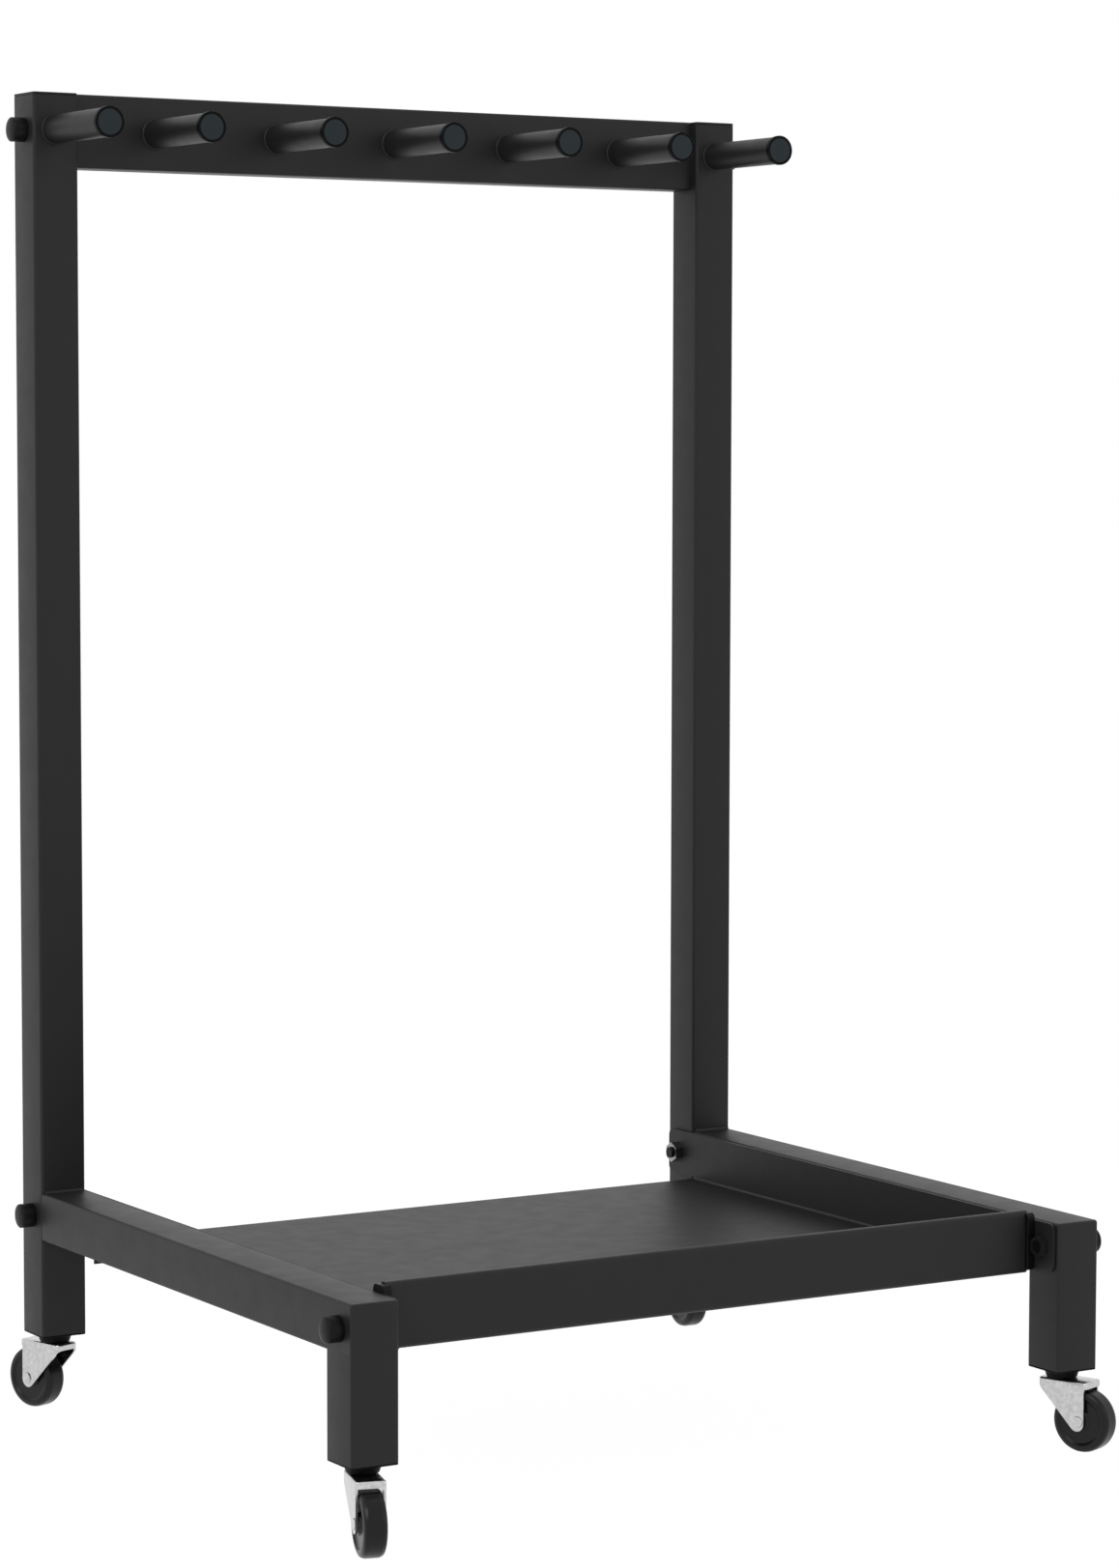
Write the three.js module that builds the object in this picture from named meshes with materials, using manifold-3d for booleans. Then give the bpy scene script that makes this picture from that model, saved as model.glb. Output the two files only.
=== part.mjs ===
// A display stand on casters: two side frames of square tube, joined by a top rail and a folded tray.
// Millimetres, +Z up. The front faces -Y, and the floor is at zero.
import * as THREE from "three";
import { mergeVertices } from "three/addons/utils/BufferGeometryUtils.js";
import Module from "manifold-3d";

const wasm = await Module();
wasm.setup();

// Driving sizes of the stand
const overallWidth = 430;
const frameDepth = 366;
const frameHeight = 690;
const baseRailTop = 118;
const legClearance = 41;
const pegCount = 7;

// Square tube of the side frames, and the flatter tube of the top rail, flush with the uprights' backs
const tubeSide = 25;
const tubeWall = 1.2;
const tubeCornerRadius = 1.5;
const topRailHeight = 38;
const topRailDepth = 19;
const endPlateThickness = 1.5;

// Plastic caps in the uprights' tops
const capFlange = 1.4;
const capSkirtDepth = 10;
const capSkirtWall = 1.6;

// Pegs on the top rail and the uprights, with plastic plugs in their open ends
const pegDiameter = 15;
const pegLength = 65.4;
const pegPitch = 71.2;
const pegWall = 1.5;
const pegPlugRim = 2.4;
const pegPlugOverhang = 0.5;
const pegPlugDepth = 9;
const pegPlugRounding = 1;

// Folded tray: a floor, a front lip with a return, side flanges with ears, and a back flange turned down
const sheetThickness = 1.2;
const bendRadius = 1.8;
const trayDrop = 27.8;
const lipRise = 4.2;
const lipSetback = 20;
const lipReturn = 6;
const lipReturnDrop = 5;
const sideFlangeHeight = 27.3;
const backFlangeHeight = 12;
const earInset = 2.5;
const earCornerRadius = 4;

// Bolts with moulded heads, their nuts, and the threaded inserts in the top rail
const boltRadius = 3;
const boltTipChamfer = 0.6;
const boltHeadRadius = 6.3;
const boltHeadHeight = 8.3;
const boltHeadRim = 6.8;
const boltPastNut = 1.5;
const trayBoltDrop = 13;
const nutAcrossFlats = 10;
const nutThickness = 5;
const thinNutThickness = 3;
const insertDepth = 14;
const boltInInsert = 10;

// Plastic blocks on the tray's ears, which cap the ends of its lip
const blockThickness = 4.6;
const blockLength = 10.4;
const blockRise = 3.2;
const blockCornerRadius = 2.5;
const blockGrooveDepth = 2;

// Swivel casters
const wheelRadius = 16;
const wheelWidth = 11.5;
const wheelTrail = 14;
const treadRounding = 2.4;
const rimInnerRadius = 11.8;
const hubRadius = 5;
const webThickness = 4;
const axleRadius = 2;
const axleHeadRadius = 3;
const axleHeadHeight = 0.5;
const forkSheet = 1;
const forkWheelGap = 0.5;
const forkFront = 10;
const forkFrontCornerRadius = 2.8;
const forkSkirt = 3.4;
const forkTipRadius = 4.1;
const forkTipAhead = 0.8;
const forkTipDrop = 0.8;
const forkRearCornerRadius = 1.4;
const plugFlange = 1;
const plugDepth = 22;
const collarHeight = 4.2;
const collarTopRadius = 9.3;
const collarBottomRadius = 7.8;
const stemRadius = 4;
const stemLength = 24;
const stemTipChamfer = 1;
const stemShoulderRadius = 5.6;
const stemShoulderHeight = 1;
const neckRadius = 3;
const rivetRadius = 5.2;
const rivetHeight = 1.3;

// Clearances, how far cuts run over and joined pieces overlap, and how finely round pieces are divided
const fitGap = 0.3;
const runningGap = 0.4;
const cutOverrun = 5;
const joinOverlap = 2;
const cornerSteps = 2;
const roundSides = 18;
const boreSides = 12;
const wheelSides = 20;

// How the casters happen to stand, as the direction in which each wheel trails, in degrees from +X
const casterHeadings = {
  front_left: -106,
  front_right: -69,
  back_left: 109,
  back_right: 85,
};

// Places worked out from the sizes above
const legX = (overallWidth - tubeSide) / 2;
const legY = (frameDepth - tubeSide) / 2;
const innerWidth = overallWidth - 2 * tubeSide;
const topRailY = (frameDepth - topRailDepth) / 2;
const topRailZ = frameHeight - topRailHeight / 2;
const trayBoltZ = baseRailTop - trayBoltDrop;
const tubeBottom = legClearance + plugFlange;
const uprightFrontY = legY - tubeSide / 2;
const frameFrontY = -frameDepth / 2;
const boltHoleRadius = boltRadius + fitGap;

// Coatings and plastics
const finishes = {
  coatedSteel: { color: 0x2c2c2e, roughness: 0.55, metalness: 0.3 },
  blackPlastic: { color: 0x141517, roughness: 0.45, metalness: 0 },
  brightZinc: { color: 0xc4c6c8, roughness: 0.28, metalness: 1 },
  blackSteel: { color: 0x1b1b1d, roughness: 0.5, metalness: 0.6 },
  wheelPlastic: { color: 0x202123, roughness: 0.5, metalness: 0 },
};

const xAxis = new THREE.Vector3(1, 0, 0);
const yAxis = new THREE.Vector3(0, 1, 0);
const zAxis = new THREE.Vector3(0, 0, 1);
// An outline drawn in Y and Z, extruded along X, and one drawn in X and Z, extruded along Y
const drawnInYZ = new THREE.Matrix4().makeBasis(yAxis, zAxis, xAxis);
const drawnInXZ = new THREE.Matrix4().makeBasis(xAxis, zAxis, yAxis.clone().negate());

const stand = new THREE.Group();

function addPiece(name, geometry, finish, parent = stand) {
  const piece = new THREE.Mesh(geometry, new THREE.MeshStandardMaterial(finishes[finish]));
  piece.name = name;
  parent.add(piece);
  return piece;
}

// Booleans
function solidOf(geometry) {
  const bare = geometry.clone();
  bare.deleteAttribute("normal");
  bare.deleteAttribute("uv");
  const merged = mergeVertices(bare);
  const vertProperties = merged.attributes.position.array;
  const triVerts = new Uint32Array(merged.index.array);
  return new wasm.Manifold(new wasm.Mesh({ numProp: 3, vertProperties, triVerts }));
}

function geometryOf(solid) {
  const { vertProperties, triVerts } = solid.getMesh();
  const geometry = new THREE.BufferGeometry();
  geometry.setAttribute("position", new THREE.BufferAttribute(vertProperties, 3));
  geometry.setIndex(new THREE.BufferAttribute(triVerts, 1));
  geometry.computeVertexNormals();
  return geometry;
}

function cutFrom(geometry, ...cutters) {
  const cut = cutters.reduce((left, cutter) => left.subtract(solidOf(cutter)), solidOf(geometry));
  return geometryOf(cut);
}

function joined(...geometries) {
  const whole = geometries.map(solidOf).reduce((sum, solid) => sum.add(solid));
  return geometryOf(whole);
}

// A straight extrusion, centred on its length, in the frame that its outline was drawn in
function extruded(shape, length, drawnIn = new THREE.Matrix4()) {
  const geometry = new THREE.ExtrudeGeometry(shape, {
    depth: length,
    bevelEnabled: false,
    curveSegments: cornerSteps,
  });
  return geometry.translate(0, 0, -length / 2).applyMatrix4(drawnIn);
}

function roundedOutline(width, height, radius, Outline = THREE.Shape) {
  const outline = new Outline();
  const x = width / 2 - radius;
  const y = height / 2 - radius;
  const centres = [
    [x, -y],
    [x, y],
    [-x, y],
    [-x, -y],
  ];
  centres.forEach(([centreX, centreY], quarter) => {
    const start = ((quarter - 1) * Math.PI) / 2;
    outline.absarc(centreX, centreY, radius, start, start + Math.PI / 2, false);
  });
  return outline;
}

function polygonPoints(radius, sides, turn = 0) {
  return Array.from({ length: sides }, (_, corner) => {
    const angle = turn + (2 * Math.PI * corner) / sides;
    return new THREE.Vector2(radius * Math.cos(angle), radius * Math.sin(angle));
  });
}

// A solid of revolution about Y from half of its section, given as [radius, height] pairs either way round
function turned(halfSection, sides = roundSides) {
  const points = halfSection.map(([radius, height]) => new THREE.Vector2(radius, height));
  if (THREE.ShapeUtils.isClockWise(points)) points.reverse();
  const startsOnAxis = points[0].x === 0 && points.at(-1).x === 0;
  if (!startsOnAxis) points.push(points[0].clone());
  return new THREE.LatheGeometry(points, sides);
}

// Points of an arc in a half section, between two angles in quarter turns
function arcPairs(centreRadius, centreHeight, radius, startQuarter, endQuarter, steps = cornerSteps) {
  return Array.from({ length: steps + 1 }, (_, step) => {
    const angle = ((startQuarter + ((endQuarter - startQuarter) * step) / steps) * Math.PI) / 2;
    return [centreRadius + radius * Math.cos(angle), centreHeight + radius * Math.sin(angle)];
  });
}

function roundBar(radius, length, sides = boreSides) {
  return new THREE.CylinderGeometry(radius, radius, length, sides);
}

// A round hole along X, cut right through a piece of the given width
function holeAlongX(radius, throughWidth, y, z) {
  return roundBar(radius, throughWidth + cutOverrun)
    .rotateZ(Math.PI / 2)
    .translate(0, y, z);
}

// The outline of a sheet that follows a centre line and bends round each of its inner corners
function sheetOutline(centreLine, thickness, radius) {
  const half = thickness / 2;
  const points = centreLine.map(([x, y]) => new THREE.Vector2(x, y));
  const left = [];
  const right = [];
  const directionAt = (index) => points[index + 1].clone().sub(points[index]).normalize();
  const leftOf = (direction) => new THREE.Vector2(-direction.y, direction.x);
  const addEnd = (point, direction) => {
    left.push(point.clone().addScaledVector(leftOf(direction), half));
    right.push(point.clone().addScaledVector(leftOf(direction), -half));
  };
  addEnd(points[0], directionAt(0));
  for (let index = 1; index < points.length - 1; index += 1) {
    const before = directionAt(index - 1);
    const after = directionAt(index);
    const turn = Math.atan2(before.cross(after), before.dot(after));
    const side = Math.sign(turn);
    const tangent = radius * Math.tan(Math.abs(turn) / 2);
    const centre = points[index]
      .clone()
      .addScaledVector(before, -tangent)
      .addScaledVector(leftOf(before), side * radius);
    for (let step = 0; step <= cornerSteps; step += 1) {
      const angle = (turn * step) / cornerSteps;
      const spoke = leftOf(before).multiplyScalar(-side).rotateAround(new THREE.Vector2(), angle);
      left.push(centre.clone().addScaledVector(spoke, radius - side * half));
      right.push(centre.clone().addScaledVector(spoke, radius + side * half));
    }
  }
  addEnd(points.at(-1), directionAt(points.length - 2));
  return new THREE.Shape([...left, ...right.reverse()]);
}

// Square tube along Z, centred on its length
function squareTube(width, depth, length) {
  const outline = roundedOutline(width, depth, tubeCornerRadius);
  const bore = roundedOutline(
    width - 2 * tubeWall,
    depth - 2 * tubeWall,
    tubeCornerRadius - tubeWall,
    THREE.Path,
  );
  outline.holes.push(bore);
  return extruded(outline, length);
}

// Side frames: an upright, a base rail that runs over the front leg, and that leg
function addSideFrame(name, x) {
  const uprightLength = frameHeight - capFlange - tubeBottom;
  const uprightZ = tubeBottom + uprightLength / 2;
  const upright = cutFrom(
    squareTube(tubeSide, tubeSide, uprightLength),
    holeAlongX(boltHoleRadius, tubeSide, 0, topRailZ - uprightZ),
    holeAlongX(boltHoleRadius, tubeSide, 0, trayBoltZ - uprightZ),
  );
  addPiece(`${name}_upright`, upright, "coatedSteel").position.set(x, legY, uprightZ);

  const railLength = uprightFrontY - frameFrontY - endPlateThickness;
  const railY = uprightFrontY - railLength / 2;
  const railZ = baseRailTop - tubeSide / 2;
  const rail = cutFrom(
    squareTube(tubeSide, tubeSide, railLength).rotateX(Math.PI / 2),
    holeAlongX(boltHoleRadius, tubeSide, -legY - railY, trayBoltZ - railZ),
  );
  addPiece(`${name}_base_rail`, rail, "coatedSteel").position.set(x, railY, railZ);

  const plate = extruded(roundedOutline(tubeSide, tubeSide, tubeCornerRadius), endPlateThickness);
  addPiece(`${name}_rail_end_plate`, plate.rotateX(Math.PI / 2), "coatedSteel").position.set(
    x,
    frameFrontY + endPlateThickness / 2,
    railZ,
  );

  const legLength = baseRailTop - tubeSide - tubeBottom;
  const leg = squareTube(tubeSide, tubeSide, legLength);
  addPiece(`${name}_front_leg`, leg, "coatedSteel").position.set(x, -legY, tubeBottom + legLength / 2);
}

// Plastic cap: a flange over the tube's end and a hollow skirt inside it
function addUprightCap(name, x) {
  const skirtSide = tubeSide - 2 * (tubeWall + fitGap);
  const skirtRadius = tubeCornerRadius - tubeWall;
  const skirtOutline = roundedOutline(skirtSide, skirtSide, skirtRadius);
  const hollowSide = skirtSide - 2 * capSkirtWall;
  skirtOutline.holes.push(roundedOutline(hollowSide, hollowSide, skirtRadius, THREE.Path));
  const skirtTop = capFlange / 2;
  const skirt = extruded(skirtOutline, capSkirtDepth).translate(0, 0, skirtTop - capSkirtDepth / 2);
  const flange = extruded(roundedOutline(tubeSide, tubeSide, tubeCornerRadius), capFlange);
  flange.translate(0, 0, capFlange / 2);
  addPiece(`${name}_upright_cap`, joined(flange, skirt), "blackPlastic").position.set(
    x,
    legY,
    frameHeight - capFlange,
  );
}

// Top rail between the uprights, with a threaded insert flush in each end
function addTopRail() {
  const rail = squareTube(topRailHeight, topRailDepth, innerWidth).rotateY(Math.PI / 2);
  addPiece("top_rail", rail, "coatedSteel").position.set(0, topRailY, topRailZ);

  const insertHeight = topRailHeight - 2 * (tubeWall + fitGap);
  const insertWidth = topRailDepth - 2 * (tubeWall + fitGap);
  const outline = roundedOutline(insertWidth, insertHeight, tubeCornerRadius - tubeWall);
  const insert = cutFrom(
    extruded(outline, insertDepth, drawnInYZ),
    holeAlongX(boltHoleRadius, insertDepth, legY - topRailY, 0),
  );
  const insertX = (innerWidth - insertDepth) / 2;
  addPiece("top_rail_insert_left", insert, "brightZinc").position.set(-insertX, topRailY, topRailZ);
  addPiece("top_rail_insert_right", insert, "brightZinc").position.set(insertX, topRailY, topRailZ);
}

// Pegs: a row of short tubes, the first and last welded to the uprights and the others to the top rail
function addPegs() {
  const pegRadius = pegDiameter / 2;
  const boreRadius = pegRadius - pegWall;
  const rimRadius = pegRadius + pegPlugOverhang;
  const tube = turned([
    [boreRadius, 0],
    [pegRadius, 0],
    [pegRadius, pegLength - pegPlugRim],
    [boreRadius, pegLength - pegPlugRim],
  ]);
  const plugRadius = boreRadius - fitGap;
  const plug = turned([
    [0, pegLength - pegPlugRim - pegPlugDepth],
    [plugRadius, pegLength - pegPlugRim - pegPlugDepth],
    [plugRadius, pegLength - pegPlugRim],
    [rimRadius, pegLength - pegPlugRim],
    ...arcPairs(rimRadius - pegPlugRounding, pegLength - pegPlugRounding, pegPlugRounding, 0, 1, 2),
    [0, pegLength],
  ]);
  // The pegs point forwards, so what was turned about +Y is turned end for end
  tube.rotateX(Math.PI);
  plug.rotateX(Math.PI);
  const middlePeg = (pegCount - 1) / 2;
  for (let peg = 0; peg < pegCount; peg += 1) {
    const fromMiddle = peg - middlePeg;
    const onUpright = Math.abs(fromMiddle) === middlePeg;
    const x = onUpright ? Math.sign(fromMiddle) * legX : fromMiddle * pegPitch;
    const rootY = onUpright ? uprightFrontY : topRailY - topRailDepth / 2;
    addPiece(`peg_${peg + 1}`, tube, "coatedSteel").position.set(x, rootY, topRailZ);
    addPiece(`peg_plug_${peg + 1}`, plug, "blackPlastic").position.set(x, rootY, topRailZ);
  }
}

// The tray hangs between the side frames by the ears of its flanges
const trayWidth = innerWidth - 2 * fitGap;
const trayBottom = baseRailTop - trayDrop;
const trayFloorZ = trayBottom + sheetThickness / 2;
const lipFaceY = frameFrontY + lipSetback;
const lipMiddleY = lipFaceY + lipReturn / 2;
const lipEndX = trayWidth / 2 - sheetThickness - blockThickness + blockGrooveDepth - fitGap;

function addTray() {
  const half = sheetThickness / 2;
  const backY = uprightFrontY - fitGap - half;
  const lipY = lipFaceY + half;
  const lipTopZ = baseRailTop + lipRise - half;
  const floorEndX = trayWidth / 2 - bendRadius - half;
  const floorFrontY = lipMiddleY + blockLength / 2 + fitGap;
  const floorBackY = backY - bendRadius;
  const floorSection = sheetOutline(
    [
      [backY, trayBottom - backFlangeHeight],
      [backY, trayFloorZ],
      [floorFrontY, trayFloorZ],
    ],
    sheetThickness,
    bendRadius,
  );
  const floor = extruded(floorSection, 2 * floorEndX, drawnInYZ);

  // The lip ends in the grooves of the corner blocks
  const lipSection = sheetOutline(
    [
      [floorFrontY + joinOverlap, trayFloorZ],
      [lipY, trayFloorZ],
      [lipY, lipTopZ],
      [lipY + lipReturn - sheetThickness, lipTopZ],
      [lipY + lipReturn - sheetThickness, lipTopZ - lipReturnDrop],
    ],
    sheetThickness,
    bendRadius,
  );
  const lip = extruded(lipSection, 2 * lipEndX, drawnInYZ);

  const flangeX = (trayWidth - sheetThickness) / 2;
  const flangeTopZ = trayBottom + sideFlangeHeight;
  const sideFolds = [-1, 1].map((side) => {
    const fold = sheetOutline(
      [
        [side * (floorEndX - joinOverlap), trayFloorZ],
        [side * flangeX, trayFloorZ],
        [side * flangeX, flangeTopZ],
      ],
      sheetThickness,
      bendRadius,
    );
    const middleY = (floorBackY + floorFrontY) / 2;
    return extruded(fold, floorBackY - floorFrontY, drawnInXZ).translate(0, middleY, 0);
  });

  // Each flange runs on past both folds as an ear, for the bolts in the upright and the base rail
  const earBottomZ = trayFloorZ + bendRadius;
  const earFrontY = frameFrontY + earInset;
  const earBackY = frameDepth / 2 - earInset;
  const earHeight = flangeTopZ - earBottomZ;
  const earOutline = roundedOutline(earBackY - earFrontY, earHeight, earCornerRadius);
  const ears = [-1, 1].map((side) =>
    extruded(earOutline, sheetThickness, drawnInYZ).translate(
      side * flangeX,
      (earBackY + earFrontY) / 2,
      (flangeTopZ + earBottomZ) / 2,
    ),
  );
  const tray = cutFrom(
    joined(floor, lip, ...sideFolds, ...ears),
    holeAlongX(boltHoleRadius, trayWidth, legY, trayBoltZ),
    holeAlongX(boltHoleRadius, trayWidth, -legY, trayBoltZ),
  );
  addPiece("shelf_tray", tray, "coatedSteel");
}

// Corner block: it lies on the ear's inner face, above the floor, and the lip's end sits in its groove
const blockOuterX = trayWidth / 2 - sheetThickness;

function addCornerBlock(name, side) {
  const blockBottom = trayBottom + sheetThickness + fitGap;
  const blockHeight = baseRailTop + blockRise - blockBottom;
  const outline = roundedOutline(blockLength, blockHeight, blockCornerRadius);
  const grooveWidth = lipReturn + 2 * fitGap;
  const groove = new THREE.BoxGeometry(2 * blockGrooveDepth, grooveWidth, 2 * blockHeight);
  groove.translate((-side * blockThickness) / 2, 0, 0);
  const block = cutFrom(extruded(outline, blockThickness, drawnInYZ), groove);
  addPiece(`corner_block_${name}`, block, "blackPlastic").position.set(
    side * (blockOuterX - blockThickness / 2),
    lipMiddleY,
    blockBottom + blockHeight / 2,
  );
}

// Two of the hexagon's flats face forwards and back
function hexOutline(acrossFlats) {
  return new THREE.Shape(polygonPoints(acrossFlats / Math.sqrt(3), 6, Math.PI / 6));
}

// A nut whose outer face lies at a given distance from the stand's middle
function addNut(name, side, outerX, y, thickness, finish) {
  const outline = hexOutline(nutAcrossFlats);
  outline.holes.push(new THREE.Path(polygonPoints(boltHoleRadius, boreSides)));
  const nut = extruded(outline, thickness, drawnInYZ);
  addPiece(name, nut, finish).position.set(side * (outerX - thickness / 2), y, trayBoltZ);
}

// A bolt with a tall moulded head, slightly domed, on the frame's outer face
function addBolt(name, side, y, z, shankLength) {
  const dome = arcPairs(0, 0, 1, 0, 1, cornerSteps + 1).map(([radiusShare, heightShare]) => [
    boltHeadRadius * radiusShare,
    boltHeadRim + (boltHeadHeight - boltHeadRim) * heightShare,
  ]);
  dome[dome.length - 1][0] = 0;
  const bolt = turned([
    [0, -shankLength],
    [boltRadius - boltTipChamfer, -shankLength],
    [boltRadius, boltTipChamfer - shankLength],
    [boltRadius, 0],
    [boltHeadRadius, 0],
    ...dome,
  ]);
  bolt.rotateZ((-side * Math.PI) / 2);
  addPiece(name, bolt, "blackPlastic").position.set((side * overallWidth) / 2, y, z);
}

function addFasteners(name, side) {
  const throughFrame = overallWidth / 2 - blockOuterX;
  addBolt(`bolt_top_${name}`, side, legY, topRailZ, tubeSide + boltInInsert);
  addBolt(`bolt_back_${name}`, side, legY, trayBoltZ, throughFrame + nutThickness + boltPastNut);
  addBolt(`bolt_front_${name}`, side, -legY, trayBoltZ, throughFrame + thinNutThickness);
  addNut(`nut_back_${name}`, side, blockOuterX, legY, nutThickness, "brightZinc");
  addNut(`nut_front_${name}`, side, blockOuterX, -legY, thinNutThickness, "blackSteel");
}

// Caster pieces, each made once in a frame whose origin is on the floor under the swivel axis.
// The wheel trails along +X there, and its axle lies along Y.
const forkInnerHalf = wheelWidth / 2 + forkWheelGap;
const forkOuterHalf = forkInnerHalf + forkSheet;
const forkTipX = wheelTrail - forkTipAhead;
const forkTipZ = wheelRadius - forkTipDrop;
const forkRear = forkTipX + forkTipRadius + forkRearCornerRadius;
const collarBottom = legClearance - collarHeight;
const shoulderTop = collarBottom + stemShoulderHeight;
const crownTop = collarBottom - fitGap;
const crownBottom = crownTop - forkSheet;

// The leg plug's collar hides the stem's shoulder
function legPlug() {
  const plugSide = tubeSide - 2 * (tubeWall + fitGap);
  const plugOutline = roundedOutline(plugSide, plugSide, tubeCornerRadius - tubeWall);
  const flangeZ = legClearance + plugFlange / 2;
  const plug = extruded(plugOutline, plugDepth).translate(0, 0, flangeZ + plugDepth / 2);
  const flange = extruded(roundedOutline(tubeSide, tubeSide, tubeCornerRadius), plugFlange);
  flange.translate(0, 0, flangeZ);
  const collarLength = flangeZ - collarBottom;
  const collar = new THREE.CylinderGeometry(collarTopRadius, collarBottomRadius, collarLength, roundSides)
    .rotateX(Math.PI / 2)
    .translate(0, 0, flangeZ - collarLength / 2);
  const boreDepth = plugDepth + plugFlange + collarHeight;
  const bore = roundBar(stemRadius + fitGap, boreDepth + cutOverrun)
    .rotateX(Math.PI / 2)
    .translate(0, 0, collarBottom + boreDepth / 2);
  const recess = roundBar(stemShoulderRadius + fitGap, 2 * stemShoulderHeight)
    .rotateX(Math.PI / 2)
    .translate(0, 0, collarBottom);
  return cutFrom(joined(plug, flange, collar), bore, recess);
}

// Stem, shoulder, neck and riveted end, turned in one piece
function swivelStem() {
  const rivetTop = crownBottom - fitGap;
  return turned([
    [0, rivetTop - rivetHeight],
    [rivetRadius - rivetHeight / 2, rivetTop - rivetHeight],
    [rivetRadius, rivetTop - rivetHeight / 2],
    [rivetRadius, rivetTop],
    [neckRadius, rivetTop],
    [neckRadius, shoulderTop - stemShoulderHeight],
    [stemShoulderRadius, shoulderTop - stemShoulderHeight],
    [stemShoulderRadius, shoulderTop],
    [stemRadius, shoulderTop],
    [stemRadius, shoulderTop + stemLength - stemTipChamfer],
    [stemRadius - stemTipChamfer, shoulderTop + stemLength],
    [0, shoulderTop + stemLength],
  ], boreSides).rotateX(Math.PI / 2);
}

// The fork's plan: rounder corners in front than behind, inset from the outer face by a wall
function crownPlan(inset) {
  const halfWidth = forkOuterHalf - inset;
  const radiusShare = 1 - inset / (2 * forkSheet);
  const frontRadius = forkFrontCornerRadius * radiusShare;
  const rearRadius = forkRearCornerRadius * radiusShare;
  const frontX = frontRadius + inset - forkFront;
  const rearX = forkRear - inset - rearRadius;
  const plan = new THREE.Shape();
  const quarter = Math.PI / 2;
  plan.absarc(frontX, halfWidth - frontRadius, frontRadius, quarter, 2 * quarter, false);
  plan.absarc(frontX, frontRadius - halfWidth, frontRadius, 2 * quarter, 3 * quarter, false);
  plan.absarc(rearX, rearRadius - halfWidth, rearRadius, 3 * quarter, 4 * quarter, false);
  plan.absarc(rearX, halfWidth - rearRadius, rearRadius, 0, quarter, false);
  return plan;
}

// The fork's side: the crown and its skirt, narrowing to a round tip a little ahead of and below the axle
function forkSide() {
  const side = new THREE.Shape();
  const skirtZ = crownTop - forkSkirt;
  const toTip = new THREE.Vector2(forkTipX + forkFront, forkTipZ - skirtZ);
  const tangentAngle = toTip.angle() + Math.PI + Math.acos(forkTipRadius / toTip.length());
  side.moveTo(forkRear, crownTop);
  side.lineTo(-forkFront, crownTop);
  side.lineTo(-forkFront, skirtZ);
  side.absarc(forkTipX, forkTipZ, forkTipRadius, tangentAngle, 2 * Math.PI, false);
  side.lineTo(forkTipX + forkTipRadius, skirtZ);
  side.lineTo(forkRear, skirtZ);
  return side;
}

function casterFork() {
  const outer = solidOf(extruded(forkSide(), 2 * forkOuterHalf, drawnInXZ));
  const crown = solidOf(extruded(crownPlan(0), crownTop).translate(0, 0, crownTop / 2));
  const inside = extruded(crownPlan(forkSheet), crownBottom).translate(0, 0, crownBottom / 2);
  const skirtZ = crownTop - forkSkirt;
  const reach = forkFront + forkRear + wheelTrail;
  const wheelSlot = new THREE.BoxGeometry(2 * reach, 2 * forkInnerHalf, skirtZ).translate(0, 0, skirtZ / 2);
  const pivotHole = roundBar(neckRadius + runningGap, crownTop).rotateX(Math.PI / 2);
  pivotHole.translate(0, 0, crownTop);
  const axleHole = roundBar(axleRadius + fitGap, 2 * forkOuterHalf + cutOverrun);
  axleHole.translate(wheelTrail, 0, wheelRadius);
  const shell = geometryOf(outer.intersect(crown));
  return cutFrom(shell, inside, wheelSlot, pivotHole, axleHole);
}

function casterAxle() {
  const headInner = forkOuterHalf + fitGap / 2;
  const headOuter = headInner + axleHeadHeight;
  const upper = [
    [axleRadius, headInner],
    [axleHeadRadius, headInner],
    [axleHeadRadius - axleHeadHeight / 2, headOuter],
    [0, headOuter],
  ];
  const lower = upper.map(([radius, height]) => [radius, -height]).reverse();
  return turned([...lower, ...upper], boreSides).translate(wheelTrail, 0, wheelRadius);
}

// The wheel stands on a flat between two of its corners, so its radius is measured to the flats
function casterWheel() {
  const flatsToCorners = 1 / Math.cos(Math.PI / wheelSides);
  const halfWidth = wheelWidth / 2;
  const boreRadius = axleRadius + runningGap;
  const halfWeb = webThickness / 2;
  const upper = [
    [wheelRadius, 0],
    ...arcPairs(wheelRadius - treadRounding, halfWidth - treadRounding, treadRounding, 0, 1, 2),
    [rimInnerRadius, halfWidth],
    [rimInnerRadius, halfWeb],
    [hubRadius, halfWeb],
    [hubRadius, halfWidth],
    [boreRadius, halfWidth],
  ];
  const lower = upper.slice(1).map(([radius, height]) => [radius, -height]).reverse();
  const section = [...lower, ...upper].map(([radius, height]) => [radius * flatsToCorners, height]);
  return turned(section, wheelSides)
    .rotateY(Math.PI / wheelSides)
    .translate(wheelTrail, 0, wheelRadius);
}

function addCasters() {
  const pieces = [
    ["plug", legPlug(), "blackPlastic"],
    ["stem", swivelStem(), "brightZinc"],
    ["fork", casterFork(), "brightZinc"],
    ["axle", casterAxle(), "brightZinc"],
    ["wheel", casterWheel(), "wheelPlastic"],
  ];
  for (const [place, heading] of Object.entries(casterHeadings)) {
    const caster = new THREE.Group();
    const x = place.endsWith("left") ? -legX : legX;
    const y = place.startsWith("front") ? -legY : legY;
    caster.position.set(x, y, 0);
    const swivel = new THREE.Group();
    swivel.rotation.z = THREE.MathUtils.degToRad(heading);
    caster.add(swivel);
    stand.add(caster);
    for (const [piece, geometry, finish] of pieces) {
      const turns = piece !== "plug" && piece !== "stem";
      addPiece(`caster_${place}_${piece}`, geometry, finish, turns ? swivel : caster);
    }
  }
}

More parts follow.
